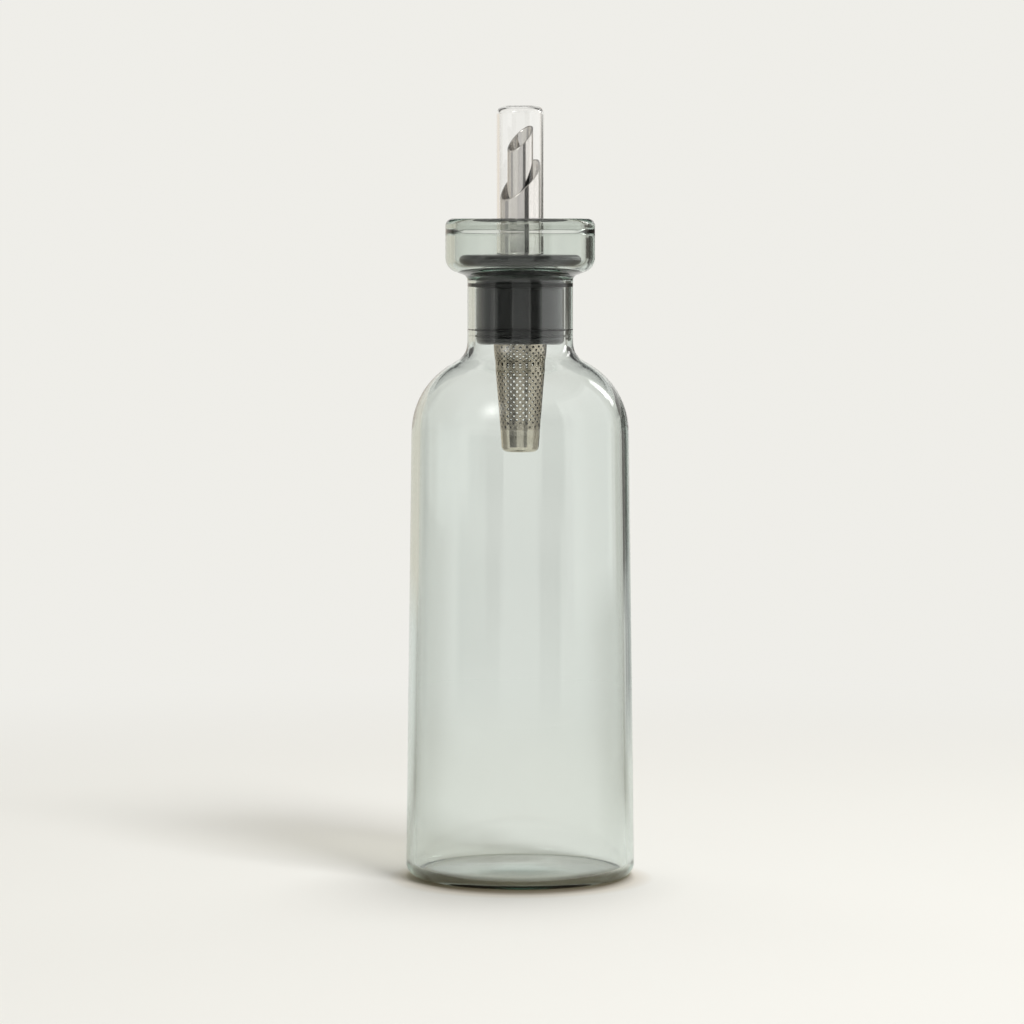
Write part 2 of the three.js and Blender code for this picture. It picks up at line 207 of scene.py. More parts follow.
# Photograph: a 1024 pixel frame
FRAME_PX = 1024
FOCAL_PX = 4256
SENSOR = 36  # mm
CAMERA_DISTANCE = 1.394  # level distance to the bottle's axis
CAMERA_HEIGHT = 0.2158
CAMERA_PITCH = math.radians(3.94)
CAMERA_AZIMUTH = math.radians(-38)
CAMERA_ASIDE = 0.0027  # the axis stands this far right of the middle of the frame
CAMERA_CLIP = 0.05, 30

# Floor, wall and room
PAGE = (0.862, 0.853, 0.812)  # the pale background
FLOOR_SIDES = (0.36, 0.335, 0.29)  # what mirror images show beside the pale floor
ROOM_SIDES = (0.7, 0.675, 0.62)  # and beside the pale wall
SIDE_TURN = math.radians(112)  # the sides lie this far round from the camera's side
SIDE_CORE, SIDE_REACH = math.radians(14), math.radians(36)  # they fade out between these angles
SIDE_START, SIDE_FULL = 0.1, 0.3  # the floor's sides come in between these distances
PAPER_ROUGHNESS = 0.9
PAPER_GLOSS = 0.1
LIT_FLOOR, EVEN_FLOOR = 0.22, 0.6  # the floor goes from lit to even between these distances
HALF_WIDTH = 2.2  # the backdrop's extent
FRONT = -1.6
BACK = 1.6
WALL_TOP = 2.4
SWEEP_R = 0.6
SWEEP_STEPS = 24
FLOOR_Z = -0.2 * MM
CONTACT_FORWARD = 0.0065  # the shade under the foot reaches this much further in front
CONTACT_SIZE = 0.06
CONTACT_STOPS = [  # distances from its middle, and shades
    (0.018, (0.84, 0.83, 0.81)),
    (0.025, (0.35, 0.305, 0.25)),
    (0.032, (0.35, 0.305, 0.25)),
    (0.038, (0.9, 0.86, 0.81)),
    (0.044, (1, 1, 1)),
]
EVEN_LIGHT = (1, 0.96, 0.88, 1)
EVEN_STRENGTH = 0.15
CEILING_START, CEILING_FULL = 0.2, 0.7  # sines of the elevations between which the room darkens
CEILING_STRENGTH = 0.75

# Lamps and screens
MIDDLE = Vector((0, 0, 0.12))  # what they aim at
WHITE_SCREEN = (1, 0.99, 0.97, 1)
WARM_SCREEN = (1, 0.925, 0.815, 1)
PANEL_EDGE = 0.035  # the soft rim of a screen
PANEL_EDGE_TURN = 2  # degrees
PANEL_STEPS = 12

# Light paths
ANY = 0.5  # a count over this is 1 or more
LEVEL = (1, 1, 0)  # times a vector, its level part
MAX_BOUNCES = 24
GLOSSY_BOUNCES = 16

RIGHT, UP, LEFT, DOWN = 0, math.pi / 2, math.pi, -math.pi / 2


# Meshes


def link(piece):
    """Puts an object in the scene."""
    bpy.context.scene.collection.objects.link(piece)
    return piece


def make_piece(node, mesh_data, material, body):
    """A smooth-shaded mesh with its hard edges kept, which stands for a CAD node and rides on its body."""
    vertices, faces = mesh_data
    mesh = bpy.data.meshes.new("look_" + node)
    mesh.from_pydata(vertices, [], faces)
    mesh.validate()
    work = bmesh.new()
    work.from_mesh(mesh)
    bmesh.ops.remove_doubles(work, verts=work.verts, dist=MERGE_DISTANCE)
    for face in work.faces:
        face.smooth = True
    for edge in work.edges:
        edge.smooth = edge.calc_face_angle(math.pi) < SHARP_ANGLE
    work.to_mesh(mesh)
    work.free()
    mesh.materials.append(material)
    piece = link(bpy.data.objects.new("look_" + node, mesh))
    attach(piece, body)
    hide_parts(node)


def arc(centre_r, centre_z, radius, start, end, steps=ARC_STEPS):
    """Points of an arc in the half plane of radius and height."""
    angles = [start + (end - start) * i / steps for i in range(steps + 1)]
    return [(centre_r + radius * math.cos(angle), centre_z + radius * math.sin(angle)) for angle in angles]


def supported(outline, closed):
    """The outline with a point close to each end of its long straight spans, so that these shade straight."""
    spans = list(zip(outline, outline[1:] + outline[:1]))
    points = []
    for (r_a, z_a), (r_b, z_b) in spans if closed else spans[:-1]:
        length = math.hypot(r_b - r_a, z_b - z_a)
        near = SUPPORT / length if length > LONG_SPAN else 0
        shares = [0, near, 1 - near] if near else [0]
        points += [(r_a + (r_b - r_a) * share, z_a + (z_b - z_a) * share) for share in shares]
    return points if closed else [*points, outline[-1]]


def turned(outline, closed=False, segments=SEGMENTS):
    """Vertices and faces of an outline, anticlockwise in radius and height, turned about the Z axis."""
    vertices, rings, faces = [], [], []
    for r, z in supported(outline, closed):
        count = segments if r > ON_AXIS else 1
        rings.append((len(vertices), count))
        for i in range(count):
            turn = 2 * math.pi * i / segments
            vertices.append((r * math.cos(turn), r * math.sin(turn), z))
    pairs = list(zip(rings, rings[1:]))
    if closed:
        pairs.append((rings[-1], rings[0]))
    for (low, low_count), (high, high_count) in pairs:
        for here in range(segments):
            after = (here + 1) % segments
            low_corners = [low + here % low_count, low + after % low_count]
            high_corners = [high + after % high_count, high + here % high_count]
            face = list(dict.fromkeys(low_corners + high_corners))
            if len(face) > 2:
                faces.append(face)
    return vertices, faces


# Bottle


def eased(points, passes=EASE_PASSES):
    """The same line with its bends eased, as blown glass has them, and no more points than it needs."""
    fine = []
    for (r_a, z_a), (r_b, z_b) in zip(points, points[1:]):
        count = max(1, round(math.hypot(r_b - r_a, z_b - z_a) / EASE_STEP))
        fine += [(r_a + (r_b - r_a) * i / count, z_a + (z_b - z_a) * i / count) for i in range(count)]
    fine.append(points[-1])
    for _ in range(passes):
        inside = zip(fine, fine[1:], fine[2:])
        middle = [tuple((a + 2 * b + c) / 4 for a, b, c in zip(*three)) for three in inside]
        fine = [fine[0], *middle, fine[-1]]
    kept, heading = [fine[0]], None
    for here, after in zip(fine[1:], fine[2:]):
        course = math.atan2(after[1] - here[1], after[0] - here[0])
        if heading is None:
            heading = course
        turned_far = abs(math.remainder(course - heading, 2 * math.pi)) > KEPT_TURN
        if turned_far or math.dist(here, kept[-1]) > KEPT_LENGTH:
            kept.append(here)
            heading = course
    return [*kept, fine[-1]]


def dome(radius, low, rise):
    """Points of a low smooth dome, from its edge in to its middle."""
    shares = [1 - i / DOME_STEPS for i in range(DOME_STEPS + 1)]
    return [(radius * share, low + rise * (1 + math.cos(math.pi * share)) / 2) for share in shares]


def shoulder(side_r, arc_r, low_z, throat_r, fillet_r):
    """Shoulder arc and the hollow fillet that leads into the neck, from the side wall up."""
    centre_r = side_r - arc_r
    across = throat_r + fillet_r - centre_r
    rise = math.sqrt((arc_r + fillet_r) ** 2 - across**2)
    meeting = math.atan2(rise, across)
    top_z = low_z + rise
    points = arc(centre_r, low_z, arc_r, RIGHT, meeting, SHOULDER_STEPS)
    points += arc(throat_r + fillet_r, top_z, fillet_r, LEFT + meeting, LEFT)
    return points


def bottle_outline():
    """Half a section, from the middle of the foot up the outside, over the rim and down the inside."""
    cup_under = RIM_Z - CUP_HEIGHT
    cup_floor = cup_under + CUP_FLOOR
    fillet_r, corner_r = NECK_R + CUP_FILLET_R, CUP_R - CUP_CORNER_R
    corner_z = cup_under + CUP_CORNER_R
    arcs_r = CUP_CORNER_R + CUP_FILLET_R
    underside_run = corner_r - fillet_r + arcs_r * math.sin(CUP_SLOPE)
    fillet_z = corner_z - arcs_r * math.cos(CUP_SLOPE) - underside_run * math.tan(CUP_SLOPE)
    outer = shoulder(BODY_TOP_R, SHOULDER_R, SHOULDER_Z, NECK_R, NECK_FILLET_R)
    outer = [(BASE_R, HEEL_R), *outer, (NECK_R, fillet_z)]

    rim_r = CUP_R - RIM_OUTER_R
    rim_inner_r = LIP_THICKNESS - RIM_OUTER_R
    lip_inner_r = CUP_R - LIP_THICKNESS
    lip_low = RIM_Z - LIP_DEPTH
    lip_step = [
        (lip_inner_r, RIM_Z - rim_inner_r),
        (lip_inner_r, lip_low),
        (CUP_INNER_R, lip_low - LIP_TAPER),
        (CUP_INNER_R, lip_low - LIP_RUN_OUT),
    ]

    inside_r = BASE_R - WALL
    inner_corner_r = CUP_INNER_R - CUP_INNER_CORNER_R
    inner_low = SHOULDER_Z + SHOULDER_THINNING
    inner = shoulder(BODY_TOP_R - WALL, SHOULDER_R - WALL, inner_low, BORE_R, INNER_NECK_FILLET_R)
    inner = [(BORE_R, cup_floor - MOUTH_EDGE_R), *reversed(inner), (inside_r, FLOOR + INNER_HEEL_R)]
    punt_r = BASE_R - HEEL_R - FOOT_RING
    return [
        *reversed(dome(punt_r, 0, PUNT_RISE)),
        *arc(BASE_R - HEEL_R, HEEL_R, HEEL_R, DOWN, RIGHT)[:-1],
        *eased(outer)[:-1],
        *arc(fillet_r, fillet_z, CUP_FILLET_R, LEFT, UP + CUP_SLOPE),
        *arc(corner_r, corner_z, CUP_CORNER_R, DOWN + CUP_SLOPE, RIGHT),
        *arc(rim_r, RIM_Z - RIM_OUTER_R, RIM_OUTER_R, RIGHT, UP),
        *arc(rim_r, RIM_Z - rim_inner_r, rim_inner_r, UP, LEFT)[1:-1],
        *eased(lip_step, LIP_EASE_PASSES),
        *arc(inner_corner_r, cup_floor + CUP_INNER_CORNER_R, CUP_INNER_CORNER_R, RIGHT, DOWN),
        *arc(BORE_R + MOUTH_EDGE_R, cup_floor - MOUTH_EDGE_R, MOUTH_EDGE_R, UP, LEFT)[:-1],
        *eased(inner)[:-1],
        *arc(inside_r - INNER_HEEL_R, FLOOR + INNER_HEEL_R, INNER_HEEL_R, RIGHT, DOWN),
        *dome(punt_r, FLOOR, PUNT_RISE + PONTIL_RISE),
    ]


# Stopper


def groove(low, high):
    """A square groove in the plug's side, for a seal between these corners."""
    bottom_r = PLUG_R - SEAL_DEPTH
    z_low, z_high = low.z - SEAL_FIT, high.z + SEAL_FIT
    return [(PLUG_R, z_low), (bottom_r, z_low), (bottom_r, z_high), (PLUG_R, z_high)]


def stopper_outline():
    ceiling = FLANGE_TOP - FLANGE_THICKNESS
    flange_low = ceiling - SEAT_DROP
    edge_r = (FLANGE_TOP - flange_low) / 2
    low_edge_r = FLANGE_LOW_EDGE_R
    hole_r = OUTER_TUBE_R + TUBE_FIT
    return [
        (SHELL_INNER_R, PLUG_BOTTOM),
        *arc(PLUG_R - PLUG_EDGE_R, PLUG_BOTTOM + PLUG_EDGE_R, PLUG_EDGE_R, DOWN, RIGHT),
        *groove(LOWER_SEAL_LOW, LOWER_SEAL_HIGH),
        *groove(UPPER_SEAL_LOW, UPPER_SEAL_HIGH),
        *arc(PLUG_R + PLUG_FILLET_R, flange_low - PLUG_FILLET_R, PLUG_FILLET_R, LEFT, UP),
        *arc(FLANGE_R - low_edge_r, flange_low + low_edge_r, low_edge_r, DOWN, RIGHT),
        *arc(FLANGE_R - edge_r, flange_low + edge_r, edge_r, RIGHT, UP),
        *arc(hole_r + SOFT_EDGE, FLANGE_TOP - SOFT_EDGE, SOFT_EDGE, UP, LEFT, SOFT_STEPS),
        (hole_r, ceiling),
        (SHELL_INNER_R, ceiling),
    ]


def core_outline():
    hole_r = INNER_TUBE_R + TUBE_FIT
    bore_r = OUTER_TUBE_R + TUBE_FIT
    web_low = PLUG_BOTTOM + SOCKET_DEPTH
    grip_r = GRIP_HIGH.x + SEAL_FIT
    return [
        (SOCKET_R + SOFT_EDGE, CORE_LOW.z),
        *arc(CORE_R - SOFT_EDGE, CORE_LOW.z + SOFT_EDGE, SOFT_EDGE, DOWN, RIGHT, SOFT_STEPS),
        (CORE_R, CORE_HIGH.z),
        (bore_r, CORE_HIGH.z),
        (bore_r, web_low + WEB),
        (hole_r, web_low + WEB),
        (hole_r, web_low - BOSS_LENGTH),
        (BOSS_R, web_low - BOSS_LENGTH),
        (BOSS_R, web_low),
        (SOCKET_R, web_low),
        (SOCKET_R, GRIP_HIGH.z + SEAL_FIT),
        (grip_r, GRIP_HIGH.z + SEAL_FIT),
        (grip_r, GRIP_LOW.z - SEAL_FIT),
        (SOCKET_R, GRIP_LOW.z - SEAL_FIT),
        (SOCKET_R, CORE_LOW.z + SOFT_EDGE),
    ]


def seal_outline(low, high, lips, contact):
    """A seal level with the plug's side, with lips that are squeezed flat against the neck's bore."""
    contact_r = BORE_R + SEAL_SQUEEZE
    inner_r = PLUG_R - SEAL_DEPTH + SEAL_FIT
    side_r = PLUG_R - SEAL_FIT
    foot = contact / 2 + CONTACT_SLOPE
    outline = [(inner_r, low.z), (side_r, low.z)]
    for lip_z in lips:
        outline += [(side_r, lip_z - foot), (contact_r, lip_z - contact / 2)]
        outline += [(contact_r, lip_z + contact / 2), (side_r, lip_z + foot)]
    return outline + [(side_r, high.z), (inner_r, high.z)]


def upper_seal_outline():
    lips = [(UPPER_SEAL_LOW.z + UPPER_SEAL_HIGH.z) / 2]
    return seal_outline(UPPER_SEAL_LOW, UPPER_SEAL_HIGH, lips, UPPER_CONTACT)


def lower_seal_outline():
    lips = [LOWER_SEAL_LOW.z + SEAL_LIP / 2, LOWER_SEAL_HIGH.z - SEAL_LIP / 2]
    return seal_outline(LOWER_SEAL_LOW, LOWER_SEAL_HIGH, lips, LOWER_CONTACT)


def grip_outline():
    section_r = (GRIP_HIGH.z - GRIP_LOW.z) / 2
    return arc(GRIP_HIGH.x - section_r, GRIP_LOW.z + section_r, section_r, 0, 2 * math.pi, 2 * ARC_STEPS)[:-1]


# Spout


def slant_tube(radius, low, tip):
    """A tube with a slanted mouth and softened rim, its tip towards +X."""
    inner_r = radius - TUBE_WALL
    rings = [  # radii, and drops below the slanted cut
        (inner_r, None),
        (radius, None),
        (radius, TUBE_EDGE + SUPPORT),
        (radius, TUBE_EDGE),
        (radius - TUBE_EDGE, 0),
        (inner_r + TUBE_EDGE, 0),
        (inner_r, TUBE_EDGE),
        (inner_r, TUBE_EDGE + SUPPORT),
    ]
    vertices, faces = [], []
    for r, drop in rings:
        for i in range(SEGMENTS):
            turn = 2 * math.pi * i / SEGMENTS
            x = r * math.cos(turn)
            z = low if drop is None else tip - (radius - x) * CUT_SLOPE - drop
            vertices.append((x, r * math.sin(turn), z))
    for i in range(len(rings)):
        low_ring, high_ring = i * SEGMENTS, (i + 1) % len(rings) * SEGMENTS
        for here in range(SEGMENTS):
            after = (here + 1) % SEGMENTS
            faces.append((low_ring + here, low_ring + after, high_ring + after, high_ring + here))
    return vertices, faces


# Basket


def rolled(point, inset, middle_turn):
    """A point of a flat half sheet, rolled into the cone with a straight rim.

    The sheet's origin is the cone's apex.
    """
    slant = math.hypot(*point)
    turn = math.atan2(point[1], point[0]) / CONE_SINE + middle_turn
    on_rim = max(0, slant - MOUTH_R / CONE_SINE)
    r = (slant - on_rim) * CONE_SINE
    z = BASKET_TOP - (MOUTH_R - r) / CONE_SLOPE + on_rim
    return ((r - inset) * math.cos(turn), (r - inset) * math.sin(turn), z)


def hole_places(near, far, half, row_drop):
    """Middles of the staggered holes that fit on a flat half sheet."""
    places = []
    across = int(far * math.sin(half) / HOLE_PITCH) + 1
    rows = int((far - near * math.cos(half)) / ROW_PITCH) + 1
    for row in range(rows):
        row_x = far - (row + 1) * ROW_PITCH - row_drop
        for column in range(-across, across + 1):
            y = (column + (row % 2) / 2) * HOLE_PITCH
            x = row_x + y * ROW_SKEW
            slant, angle = math.hypot(x, y), math.atan2(y, x)
            from_seam = slant * math.sin(half - abs(angle))
            if near + END_MARGIN < slant < far - END_MARGIN and from_seam > HOLE_R + SEAM_MARGIN:
                places.append(Vector((x, y)))
    return places


def half_sheet(middle_turn, row_drop):
    """Half of the basket's cone: a flat fan with staggered holes, rolled up into a sheet with two faces."""
    near, far = CONE_END_R / CONE_SINE, (CONE_HIGH.z - BASKET_TOP) + MOUTH_R / CONE_SINE
    half = math.pi / 2 * CONE_SINE
    points, edges = [], []

    def add_loop(loop):
        first = len(points)
        points.extend(loop)
        edges.extend((first + i, first + (i + 1) % len(loop)) for i in range(len(loop)))

    def on_fan(slant, share):
        return Vector((slant * math.cos(half * share), slant * math.sin(half * share)))

    shares = [2 * i / SHEET_STEPS - 1 for i in range(SHEET_STEPS + 1)]
    add_loop([on_fan(near, share) for share in shares] + [on_fan(far, share) for share in reversed(shares)])
    holes = hole_places(near, far, half, row_drop)
    turns = [2 * math.pi * i / HOLE_SIDES for i in range(HOLE_SIDES)]
    rim = [HOLE_R * Vector((math.cos(turn), math.sin(turn))) for turn in turns]
    for hole in holes:
        add_loop([hole + point for point in rim])
    flat, _, triangles, _, _, _ = delaunay_2d_cdt(points, edges, [], INSIDE_OUTLINE, SHEET_TOLERANCE)

    def in_hole(triangle):
        middle = sum((flat[i] for i in triangle), Vector((0, 0))) / 3
        return any((middle - hole).length < IN_HOLE * HOLE_R for hole in holes)

    sheet = [tuple(triangle) for triangle in triangles if not in_hole(triangle)]
    count = len(flat)
    vertices = [rolled(point, inset, middle_turn) for inset in (0, SHEET) for point in flat]
    faces = list(sheet) + [(c + count, b + count, a + count) for a, b, c in sheet]
    used = {edge for a, b, c in sheet for edge in ((a, b), (b, c), (c, a))}
    seams = [on_fan(1, share).normalized() for share in (-1, 1)]

    def on_seam(i):
        return any(abs(flat[i].x * seam.y - flat[i].y * seam.x) < ON_SEAM for seam in seams)

    for a, b in sorted(used):
        if (b, a) not in used and not (on_seam(a) and on_seam(b)):
            faces.append((b, a, a + count, b + count))
    return vertices, faces


def cone_mesh():
    """Both half sheets, which meet at the sides."""
    vertices, faces = [], []
    for middle_turn, row_drop in ((FRONT_TURN, 0), (FRONT_TURN + math.pi, BACK_ROW_DROP)):
        half_vertices, half_faces = half_sheet(middle_turn, row_drop)
        first = len(vertices)
        vertices += half_vertices
        faces += [tuple(first + i for i in face) for face in half_faces]
    return vertices, faces


def collar_outline():
    inner_r = COLLAR_HIGH.x - SHEET
    return [
        (inner_r, COLLAR_LOW.z),
        (COLLAR_HIGH.x, COLLAR_LOW.z),
        (COLLAR_HIGH.x, COLLAR_HIGH.z),
        (inner_r, COLLAR_HIGH.z),
    ]


def end_cup_outline():
    corner_z = END_CUP_LOW.z + END_CUP_CORNER_R
    seam_z = CONE_LOW.z - TUBE_FIT
    side_r = CONE_END_R - CONE_SLOPE * (CONE_LOW.z - corner_z)
    corner_r = side_r - END_CUP_CORNER_R
    lip_r = CONE_END_R - SHEET - TUBE_FIT
    return [
        (0, END_CUP_LOW.z),
        *arc(corner_r, corner_z, END_CUP_CORNER_R, DOWN, RIGHT),
        (CONE_END_R, seam_z),
        (lip_r, seam_z),
        (lip_r, END_CUP_HIGH.z),
        (lip_r - SHEET, END_CUP_HIGH.z),
        (lip_r - SHEET, seam_z),
        *arc(corner_r, corner_z, END_CUP_CORNER_R - SHEET, RIGHT, DOWN),
        (0, END_CUP_LOW.z + SHEET),
    ]


# Cap


def cap_outline():
    inner_r = CAP_R - CAP_WALL
    ceiling = CAP_HIGH.z - CAP_TOP
    lip_r = CAP_WALL / 2
    return [
        (0, ceiling),
        *arc(inner_r - CAP_INNER_CORNER_R, ceiling - CAP_INNER_CORNER_R, CAP_INNER_CORNER_R, UP, RIGHT),
        *arc(CAP_R - lip_r, CAP_LOW.z + lip_r, lip_r, LEFT, 2 * math.pi),
        *arc(CAP_R - CAP_CORNER_R, CAP_HIGH.z - CAP_CORNER_R, CAP_CORNER_R, RIGHT, UP),
        (0, CAP_HIGH.z),
    ]


# Shader nodes


def new_material(name):
    """A material, with its nodes and links."""
    material = bpy.data.materials.new(name)
    material.use_nodes = True
    return material, material.node_tree.nodes, material.node_tree.links


def feed(links, socket, value):
    """Sets a socket to a constant, or links it to a node's output."""
    if isinstance(value, bpy.types.NodeSocket):
        links.new(value, socket)
    else:
        socket.default_value = value


def calculate(nodes, links, operation, value, other):
    """One Math node. The other operand is a number or a node's output."""
    node = nodes.new("ShaderNodeMath")
    node.operation = operation
    links.new(value, node.inputs[0])
    feed(links, node.inputs[1], other)
    return node.outputs["Value"]


def vector_math(nodes, links, operation, vector, other=None):
    """One Vector Math node, and its number or vector. The other operand is a constant."""
    node = nodes.new("ShaderNodeVectorMath")
    node.operation = operation
    links.new(vector, node.inputs[0])
    if other is not None:
        node.inputs[1].default_value = other
    return node.outputs["Value" if operation in ("LENGTH", "DISTANCE", "DOT_PRODUCT") else "Vector"]


def map_range(nodes, links, value, start, end, low=0, high=1, smooth=False):
    """A number that goes from low to high as a value goes from start to end."""
    node = nodes.new("ShaderNodeMapRange")
    node.interpolation_type = "SMOOTHSTEP" if smooth else "LINEAR"
    node.inputs["From Min"].default_value = start
    node.inputs["From Max"].default_value = end
    node.inputs["To Min"].default_value = low
    node.inputs["To Max"].default_value = high
    links.new(value, node.inputs["Value"])
    return node.outputs["Result"]


def colour_stops(nodes, links, factor, stops):
    """A colour that runs through stops, which are pairs of a factor and a colour."""
    node = nodes.new("ShaderNodeValToRGB")
    elements = node.color_ramp.elements
    for element, (place, colour) in zip(elements, (stops[0], stops[-1])):
        element.position = place
        element.color = (*colour, 1)
    for place, colour in stops[1:-1]:
        elements.new(place).color = (*colour, 1)
    links.new(factor, node.inputs["Fac"])
    return node.outputs["Color"]


def mix_colours(nodes, links, factor, first, second, blend="MIX"):
    """Two colours mixed by a factor. Each of the three is a constant or a node's output."""
    node = nodes.new("ShaderNodeMix")
    node.data_type = "RGBA"
    node.blend_type = blend
    colours = [socket for socket in node.inputs if socket.type == "RGBA"]
    feed(links, node.inputs["Factor"], factor)
    feed(links, colours[0], first)
    feed(links, colours[1], second)
    return next(socket for socket in node.outputs if socket.type == "RGBA")


def mix_shaders(nodes, links, factor, first, second):
    """The first shader where a factor is 0, and the second where it is 1."""
    node = nodes.new("ShaderNodeMixShader")
    links.new(factor, node.inputs["Fac"])
    links.new(first, node.inputs[1])
    links.new(second, node.inputs[2])
    return node.outputs["Shader"]


def object_place(nodes):
    return nodes.new("ShaderNodeTexCoord").outputs["Object"]


def height_of(nodes, links, place):
    axes = nodes.new("ShaderNodeSeparateXYZ")
    links.new(place, axes.inputs["Vector"])
    return axes.outputs["Z"]


def noise(nodes, links, scale, detail, stretch=(1, 1, 1)):
    """Noise in the object's own space, stretched along its axes."""
    mapping = nodes.new("ShaderNodeMapping")
    mapping.inputs["Scale"].default_value = stretch
    links.new(object_place(nodes), mapping.inputs["Vector"])
    texture = nodes.new("ShaderNodeTexNoise")
    texture.inputs["Scale"].default_value = scale
    texture.inputs["Detail"].default_value = detail
    links.new(mapping.outputs["Vector"], texture.inputs["Vector"])
    return texture.outputs["Fac"]


def bump(nodes, links, height, strength, distance):
    """Uneven normals for a material's Principled shader."""
    node = nodes.new("ShaderNodeBump")
    node.inputs["Strength"].default_value = strength
    node.inputs["Distance"].default_value = distance
    links.new(height, node.inputs["Height"])
    links.new(node.outputs["Normal"], nodes["Principled BSDF"].inputs["Normal"])


# Materials


def clear_material(name, ior, absorbed, density, lamp_tints, wave_scale):
    """Clear glass or plastic, tinted by its depth, which lets through less lamp light at a slant."""
    material, nodes, links = new_material(name)
    shader, output = nodes["Principled BSDF"], nodes["Material Output"]
    shader.inputs["Base Color"].default_value = (1, 1, 1, 1)
    shader.inputs["Roughness"].default_value = 0
    shader.inputs["IOR"].default_value = ior
    shader.inputs["Transmission Weight"].default_value = 1
    bump(nodes, links, noise(nodes, links, wave_scale, detail=1), WAVE_STRENGTH, MM)
    tint = nodes.new("ShaderNodeVolumeAbsorption")
    tint.inputs["Color"].default_value = (*absorbed, 1)
    tint.inputs["Density"].default_value = density
    links.new(tint.outputs["Volume"], output.inputs["Volume"])
    slant = nodes.new("ShaderNodeLayerWeight")
    slant.inputs["Blend"].default_value = 0.5
    square_tint, slant_tint = lamp_tints
    stops = [(SLANT_START, square_tint), (1, slant_tint)]
    lamp = nodes.new("ShaderNodeBsdfTransparent")
    links.new(colour_stops(nodes, links, slant.outputs["Facing"], stops), lamp.inputs["Color"])
    is_shadow = nodes.new("ShaderNodeLightPath").outputs["Is Shadow Ray"]
    surface = mix_shaders(nodes, links, is_shadow, shader.outputs["BSDF"], lamp.outputs["BSDF"])
    links.new(surface, output.inputs["Surface"])
    return material


def smoke_towards_rim(material):
    """Tints the glass a little more from the neck up to the rim."""
    nodes, links = material.node_tree.nodes, material.node_tree.links
    height = height_of(nodes, links, object_place(nodes))
    share = map_range(nodes, links, height, SMOKE_LOW, RIM_Z)
    tint = colour_stops(nodes, links, share, SMOKE_STOPS)
    links.new(tint, nodes["Principled BSDF"].inputs["Base Color"])


def inside_cone(nodes, links):
    """1 on the inside of the basket's cone, where its shade is painted, and 0 on its outside."""
    place = object_place(nodes)
    radius = vector_math(nodes, links, "LENGTH", vector_math(nodes, links, "MULTIPLY", place, LEVEL))
    widening = calculate(nodes, links, "MULTIPLY", height_of(nodes, links, place), CONE_SLOPE)
    level_r = calculate(nodes, links, "SUBTRACT", radius, widening)
    middle_r = MOUTH_R - BASKET_TOP * CONE_SLOPE - SHEET / 2
    return calculate(nodes, links, "LESS_THAN", level_r, middle_r)


def steel_material(name, dark, bright, roughness, stretch, inside=None):
    """Stainless steel with a fine grain, stretched along its axes, and any painted shade colour inside the
    cone.
    """
    material, nodes, links = new_material(name)
    shader = nodes["Principled BSDF"]
    grain = noise(nodes, links, STEEL_GRAIN, STEEL_GRAIN_DETAIL, stretch)
    colour = colour_stops(nodes, links, grain, [(NOISE_LOW, dark), (NOISE_HIGH, bright)])
    if inside is not None:
        # paints the shade colour on the inside of the cone
        colour = mix_colours(nodes, links, inside_cone(nodes, links), colour, inside)
    links.new(colour, shader.inputs["Base Color"])
    links.new(map_range(nodes, links, grain, NOISE_LOW, NOISE_HIGH, *roughness), shader.inputs["Roughness"])
    shader.inputs["Metallic"].default_value = 1
    bump(nodes, links, grain, STEEL_GRAIN_STRENGTH, STEEL_GRAIN_DEPTH)
    return material


def moulded_material(name, dark, bright, roughness, grain_scale, grain_strength):
    """Black moulded plastic or silicone with a fine mottled grain."""
    material, nodes, links = new_material(name)
    shader = nodes["Principled BSDF"]
    grain = noise(nodes, links, grain_scale, MOULD_GRAIN_DETAIL)
    mottle = noise(nodes, links, MOTTLE, MOTTLE_DETAIL)
    colour = colour_stops(nodes, links, mottle, [(NOISE_LOW, dark), (NOISE_HIGH, bright)])
    links.new(colour, shader.inputs["Base Color"])
    links.new(map_range(nodes, links, grain, NOISE_LOW, NOISE_HIGH, *roughness), shader.inputs["Roughness"])
    bump(nodes, links, grain, grain_strength, MOULD_GRAIN_DEPTH)
    return material


def make_materials():
    """The object's materials, by slot, and that of the end cup, which has a paler steel."""
    glass = clear_material(
        "smoked_glass",
        ior=1.47,
        absorbed=(0.16, 0.39, 0.3),
        density=50,
        lamp_tints=BOTTLE_LAMP_TINTS,
        wave_scale=25,
    )
    smoke_towards_rim(glass)
    clear = clear_material(
        "clear_cap",
        ior=1.49,
        absorbed=(0.9, 0.92, 0.91),
        density=20,
        lamp_tints=CAP_LAMP_TINTS,
        wave_scale=60,
    )
    spout = steel_material(
        "spout_steel",
        dark=(0.6, 0.585, 0.56),
        bright=(0.7, 0.68, 0.655),
        roughness=(0.05, 0.1),
        stretch=(1, 1, 0.05),
    )
    basket = steel_material(
        "basket_steel",
        dark=(0.43, 0.385, 0.305),
        bright=(0.53, 0.475, 0.39),
        roughness=(0.14, 0.24),
        stretch=(1, 1, 0.3),
        # shade painted on the inside of the cone, darker than the steel
        inside=PAINTED_INSIDE_SHADE,
    )
    end_cup = steel_material(
        "end_steel",
        dark=(0.64, 0.59, 0.49),
        bright=(0.72, 0.665, 0.56),
        roughness=(0.1, 0.18),
        stretch=(1, 1, 0.3),
    )
    plastic = moulded_material(
        "black_plastic",
        dark=(0.012, 0.012, 0.0125),
        bright=(0.018, 0.018, 0.0185),
        roughness=(0.29, 0.33),
        grain_scale=1500,
        grain_strength=0.004,
    )
    silicone = moulded_material(
        "black_silicone",
        dark=(0.014, 0.014, 0.014),
        bright=(0.02, 0.02, 0.02),
        roughness=(0.45, 0.6),
        grain_scale=2500,
        grain_strength=0.1,
    )
    return {
        "smoked_glass": glass,
        "clear_cap": clear,
        "spout_steel": spout,
        "basket_steel": basket,
        "end_steel": end_cup,
        "black_plastic": plastic,
        "black_silicone": silicone,
    }


# Object


